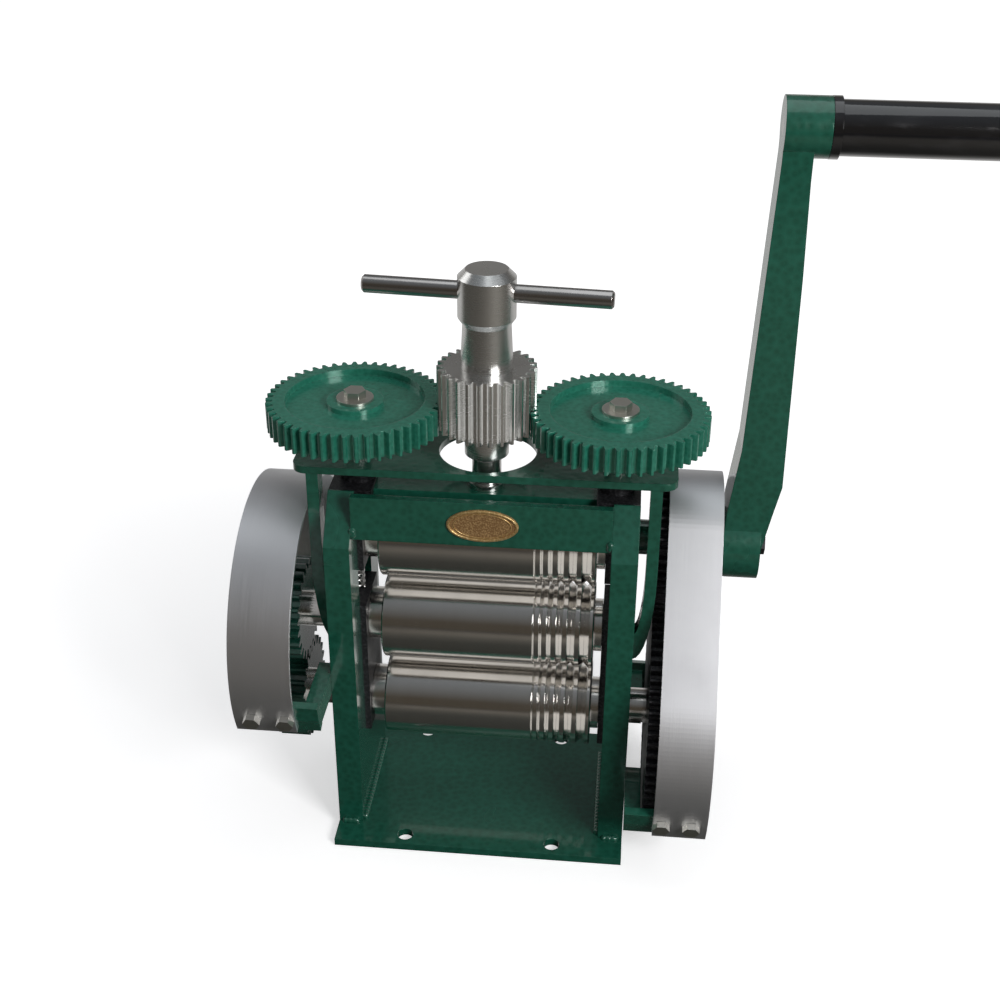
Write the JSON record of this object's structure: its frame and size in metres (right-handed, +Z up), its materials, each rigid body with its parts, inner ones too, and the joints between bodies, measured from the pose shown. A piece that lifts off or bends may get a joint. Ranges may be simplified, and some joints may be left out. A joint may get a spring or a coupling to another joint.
{
  "type": "jewellers rolling mill",
  "caption": "Hand-cranked bench rolling mill with stacked grooved rolls, a geared screw-down turned by a cross bar, sheet gear guards and a long crank.",
  "frame": {"origin": "centre of the base plate's bolt holes, on its underside", "axes": "+X along the rolls towards the crank, +Y away from the operator, +Z up"},
  "size_m": [0.4552, 0.1768, 0.4612],
  "materials": {
    "green_paint": "hammered gloss paint",
    "guard_sheet": "plain rolled sheet",
    "ground_steel": "ground and polished",
    "bright_steel": "turned, bright",
    "zinc": "zinc plated",
    "black_iron": "oiled black",
    "badge_brass": "aged, textured",
    "grip_black": "glossy black"
  },
  "bodies": {
    "frame": {"base_plate": "green_paint", "left_post": "green_paint", "right_post": "green_paint", "front_crossbar": "green_paint", "badge": "badge_brass", "top_plate": "green_paint", "left_plate_strap": "green_paint", "right_plate_strap": "green_paint", "left_screw_nut": "black_iron", "right_screw_nut": "black_iron", "spindle_bridge": "green_paint", "left_bottom_block": "black_iron", "right_bottom_block": "black_iron", "left_middle_block": "black_iron", "right_middle_block": "black_iron", "left_lift_spring": "bright_steel", "right_lift_spring": "bright_steel", "left_guard": "guard_sheet", "right_guard": "guard_sheet", "left_guard_brackets": "green_paint", "right_guard_brackets": "green_paint", "left_guard_bolts": "zinc", "right_guard_bolts": "zinc", "crank_boss": "green_paint"},
    "carriage": {"left_top_block": "black_iron", "right_top_block": "black_iron"},
    "handle": {"spindle": "bright_steel", "t_bar": "bright_steel", "spindle_pinion": "bright_steel"},
    "left_screw": {"left_gear": "green_paint", "left_pressure_screw": "bright_steel", "left_gear_bolt": "zinc"},
    "right_screw": {"right_gear": "green_paint", "right_pressure_screw": "bright_steel", "right_gear_bolt": "zinc"},
    "top_roll_body": {"top_roll": "ground_steel"},
    "middle_roll_body": {"middle_roll": "ground_steel", "middle_roll_gear": "green_paint"},
    "bottom_roll_body": {"bottom_roll": "ground_steel", "bottom_roll_gear": "green_paint", "drive_gear": "black_iron"},
    "crank": {"crank_arm": "green_paint", "crank_shaft": "bright_steel", "crank_pinion": "black_iron", "crank_bolt": "zinc", "grip_pin": "bright_steel", "grip_ferrule": "grip_black"},
    "grip_body": {"grip": "grip_black"}
  },
  "joints": [
    {"name": "screw_down", "type": "slide", "parent": "frame", "child": "carriage", "axis": [0, 0, -1], "range_m": [0, 0.0058], "deforming": ["left_lift_spring", "right_lift_spring"]},
    {"name": "handle_turn", "type": "hinge", "parent": "frame", "child": "handle", "pos_m": [0, 0, 0.3], "axis": [0, 0, 1], "range_deg": [0, 1934]},
    {"name": "left_screw_turn", "type": "hinge", "parent": "carriage", "child": "left_screw", "pos_m": [-0.077, 0, 0.25], "axis": [0, 0, 1], "range_deg": [-1045, 0]},
    {"name": "right_screw_turn", "type": "hinge", "parent": "carriage", "child": "right_screw", "pos_m": [0.077, 0, 0.25], "axis": [0, 0, 1], "range_deg": [-1045, 0]},
    {"name": "top_roll_turn", "type": "hinge", "parent": "carriage", "child": "top_roll_body", "pos_m": [0, 0, 0.1995], "axis": [1, 0, 0], "continuous": true},
    {"name": "crank_turn", "type": "hinge", "parent": "frame", "child": "crank", "pos_m": [0, 0.032, 0.18579], "axis": [1, 0, 0], "continuous": true},
    {"name": "bottom_roll_turn", "type": "hinge", "parent": "frame", "child": "bottom_roll_body", "pos_m": [0, 0, 0.0795], "axis": [1, 0, 0], "continuous": true},
    {"name": "middle_roll_turn", "type": "hinge", "parent": "frame", "child": "middle_roll_body", "pos_m": [0, 0, 0.1395], "axis": [1, 0, 0], "continuous": true},
    {"name": "grip_turn", "type": "hinge", "parent": "crank", "child": "grip_body", "pos_m": [0, 0.032, 0.44449], "axis": [1, 0, 0], "continuous": true}
  ],
  "couplings": [
    {"joint": "handle_turn", "follows": "screw_down", "rad_per_m": 5817.8},
    {"joint": "left_screw_turn", "follows": "screw_down", "rad_per_m": -3141.6},
    {"joint": "right_screw_turn", "follows": "screw_down", "rad_per_m": -3141.6},
    {"joint": "bottom_roll_turn", "follows": "crank_turn", "ratio": -0.5},
    {"joint": "middle_roll_turn", "follows": "crank_turn", "ratio": 0.5}
  ]
}
